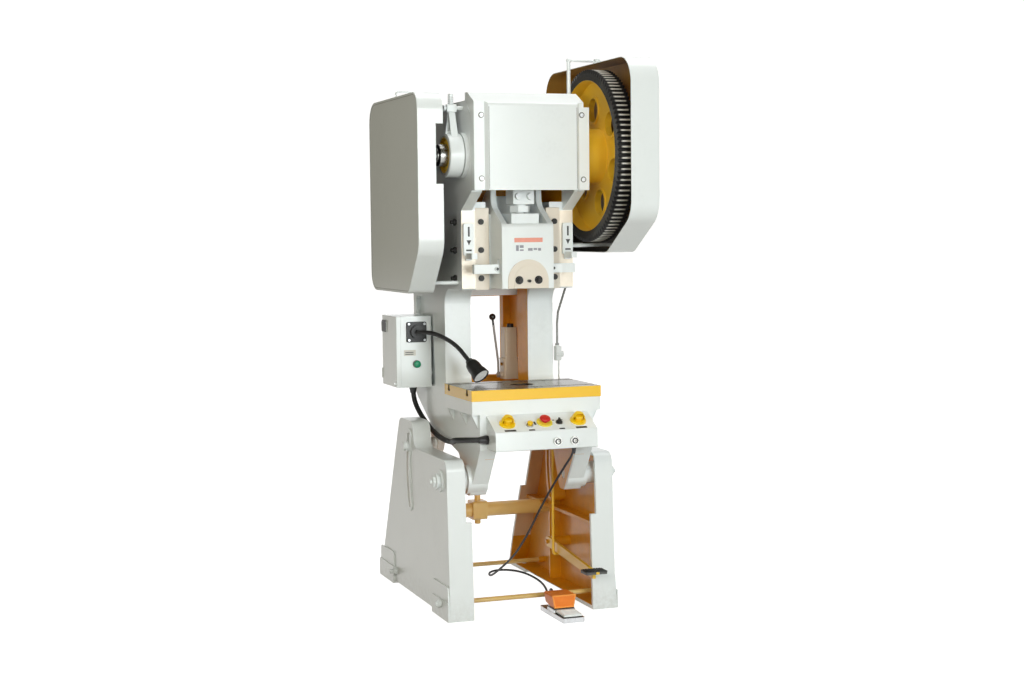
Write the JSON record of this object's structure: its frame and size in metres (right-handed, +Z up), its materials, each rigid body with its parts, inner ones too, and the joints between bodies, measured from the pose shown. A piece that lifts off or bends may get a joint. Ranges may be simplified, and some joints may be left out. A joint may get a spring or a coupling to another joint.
{
  "type": "open-back inclinable stamping press",
  "caption": "Open-back inclinable eccentric stamping press on two cast legs, with a geared crank, guided slide, bolster, side covers, control desk, electric box, lamp and foot controls.",
  "frame": {"origin": "on the floor, at the centre of the four anchor holes in the legs' feet", "axes": "+Z up, -Y towards the operator, +X to the operator's right"},
  "size_m": [0.918, 1.32, 2.294],
  "materials": {
    "white_paint": "semi-gloss enamel",
    "yellow_paint": "semi-gloss enamel",
    "machined_steel": "machined",
    "cream_steel": "ground and oiled",
    "black_steel": "black oxide",
    "zinc": "zinc plated",
    "bronze": "machined bronze",
    "black_rubber": "matte",
    "black_plastic": "moulded",
    "orange_paint": "enamel",
    "yellow_plastic": "moulded",
    "red_plastic": "moulded",
    "green_plastic": "moulded",
    "lamp_glass": "frosted"
  },
  "bodies": {
    "base": {"left_leg": "white_paint", "right_leg": "white_paint", "cross_shaft": "yellow_paint", "tilt_rest_block": "yellow_paint", "tilt_rest_screw": "machined_steel", "tie_rods": "yellow_paint", "pivot_pins": "white_paint", "foot_switch_base": "black_steel", "foot_switch_hood": "orange_paint", "foot_switch_cable": "black_rubber"},
    "frame": {"press_frame": "white_paint", "lock_bolts": "white_paint", "bolster_plate": "yellow_paint", "guide_gibs": "cream_steel", "guide_bolts": "black_steel", "knockout_stops": "white_paint", "crank_bushes": "bronze", "crank_cover": "white_paint", "gear_cover": "white_paint", "belt_cover": "white_paint", "cover_stays": "zinc", "brake_band": "cream_steel", "brake_adjuster": "machined_steel", "motor": "white_paint", "motor_bracket": "white_paint", "control_panel": "white_paint", "electric_box": "white_paint", "lamp_flange": "black_plastic", "gooseneck": "black_plastic", "lamp_head": "black_plastic", "lamp_lens": "lamp_glass", "conduit": "black_rubber", "oil_pump": "yellow_paint", "oil_pipe": "black_rubber", "drive_belts": "black_rubber"},
    "crank_gear": {"crank_gear": "yellow_paint"},
    "flywheel_shaft": {"pinion_shaft": "machined_steel", "flywheel": "yellow_paint"},
    "motor_pulley": {"motor_pulley": "black_steel"},
    "crankshaft": {"crankshaft": "machined_steel", "brake_drum": "yellow_paint"},
    "connecting_rod": {"connecting_rod": "machined_steel", "rod_cap": "machined_steel"},
    "slide": {"slide": "white_paint", "die_clamp": "cream_steel", "clamp_bolts": "black_steel", "ball_cap": "machined_steel"},
    "ball_screw": {"ball_screw": "machined_steel"},
    "knockout_bar": {"knockout_bar": "white_paint"},
    "left_palm_button": {"left_palm_button": "yellow_plastic"},
    "right_palm_button": {"right_palm_button": "yellow_plastic"},
    "stop_button": {"stop_button": "red_plastic"},
    "start_button": {"start_button": "green_plastic"},
    "mode_selector": {"mode_selector": "black_plastic"},
    "power_button": {"power_button": "green_plastic"},
    "box_door": {"box_door": "white_paint"},
    "pump_lever": {"pump_lever": "black_plastic"},
    "foot_lever": {"foot_lever": "yellow_paint"},
    "pull_rod": {"pull_rod": "yellow_paint"},
    "foot_treadle": {"foot_switch_treadle": "zinc"}
  },
  "joints": [
    {"name": "frame_tilt", "type": "hinge", "parent": "base", "child": "frame", "pos_m": [0, -0.415, 0.563], "axis": [1, 0, 0], "range_deg": [-13, 0]},
    {"name": "gear_spin", "type": "hinge", "parent": "frame", "child": "crank_gear", "pos_m": [0.333, -0.4, 1.89], "axis": [1, 0, 0], "continuous": true},
    {"name": "flywheel_spin", "type": "hinge", "parent": "frame", "child": "flywheel_shaft", "pos_m": [0, 0.0165, 1.89], "axis": [1, 0, 0], "continuous": true},
    {"name": "motor_spin", "type": "hinge", "parent": "frame", "child": "motor_pulley", "pos_m": [-0.417, 0.165, 1.442], "axis": [1, 0, 0], "continuous": true},
    {"name": "slide_stroke", "type": "slide", "parent": "frame", "child": "connecting_rod", "axis": [0, 0, 1], "range_m": [-0.065, 0]},
    {"name": "crank_turn", "type": "hinge", "parent": "frame", "child": "crankshaft", "pos_m": [0, -0.4, 1.89], "axis": [1, 0, 0], "range_deg": [0, 180]},
    {"name": "shut_height", "type": "slide", "parent": "connecting_rod", "child": "slide", "axis": [0, 0, 1], "range_m": [-0.055, 0]},
    {"name": "screw_turn", "type": "hinge", "parent": "slide", "child": "ball_screw", "pos_m": [0, -0.4, 1.572], "axis": [0, 0, 1], "range_deg": [-3300, 0]},
    {"name": "knockout_lift", "type": "slide", "parent": "slide", "child": "knockout_bar", "axis": [0, 0, 1], "range_m": [0, 0.019]},
    {"name": "left_palm_press", "type": "slide", "parent": "frame", "child": "left_palm_button", "axis": [0, 0.4566, -0.8897], "range_m": [0, 0.0045], "stiffness_N_per_m": 1500, "springref_m": -0.003},
    {"name": "right_palm_press", "type": "slide", "parent": "frame", "child": "right_palm_button", "axis": [0, 0.4566, -0.8897], "range_m": [0, 0.0045], "stiffness_N_per_m": 1500, "springref_m": -0.003},
    {"name": "stop_press", "type": "slide", "parent": "frame", "child": "stop_button", "axis": [0, 0.4566, -0.8897], "range_m": [0, 0.004], "stiffness_N_per_m": 1200, "springref_m": -0.003},
    {"name": "start_press", "type": "slide", "parent": "frame", "child": "start_button", "axis": [0, 0.4566, -0.8897], "range_m": [0, 0.003], "stiffness_N_per_m": 900, "springref_m": -0.003},
    {"name": "mode_turn", "type": "hinge", "parent": "frame", "child": "mode_selector", "pos_m": [0.068, -0.649, 0.80658], "axis": [0, -0.4566, 0.8897], "range_deg": [-45, 45]},
    {"name": "power_press", "type": "slide", "parent": "frame", "child": "power_button", "axis": [0, 1, 0], "range_m": [0, 0.004], "stiffness_N_per_m": 900, "springref_m": -0.003},
    {"name": "door_swing", "type": "hinge", "parent": "frame", "child": "box_door", "pos_m": [-0.402, 0.313, 1.059], "axis": [0, 0, -1], "range_deg": [0, 110]},
    {"name": "pump_stroke", "type": "hinge", "parent": "frame", "child": "pump_lever", "pos_m": [0.09, 0.16, 0.938], "axis": [1, 0, 0], "range_deg": [-18, 18]},
    {"name": "pedal_press", "type": "hinge", "parent": "base", "child": "foot_lever", "pos_m": [0.25, -0.043, 0.205], "axis": [1, 0, 0], "range_deg": [0, 6], "stiffness_Nm_per_rad": 60, "springref_deg": -20.05},
    {"name": "rod_pull", "type": "slide", "parent": "frame", "child": "pull_rod", "axis": [0, 0, -1], "range_m": [0, 0.0117]},
    {"name": "treadle_press", "type": "hinge", "parent": "base", "child": "foot_treadle", "pos_m": [0.102, -0.598, 0.027], "axis": [1, 0, 0], "range_deg": [0, 4.5], "stiffness_Nm_per_rad": 3, "springref_deg": -17.19}
  ],
  "couplings": [
    {"joint": "flywheel_spin", "follows": "gear_spin", "ratio": -5.2632},
    {"joint": "motor_spin", "follows": "gear_spin", "ratio": -20.865},
    {"joint": "crank_turn", "follows": "slide_stroke", "rad_per_m": -48.332},
    {"joint": "screw_turn", "follows": "shut_height", "rad_per_m": 1047.2},
    {"joint": "rod_pull", "follows": "pedal_press", "m_per_rad": 0.11}
  ]
}
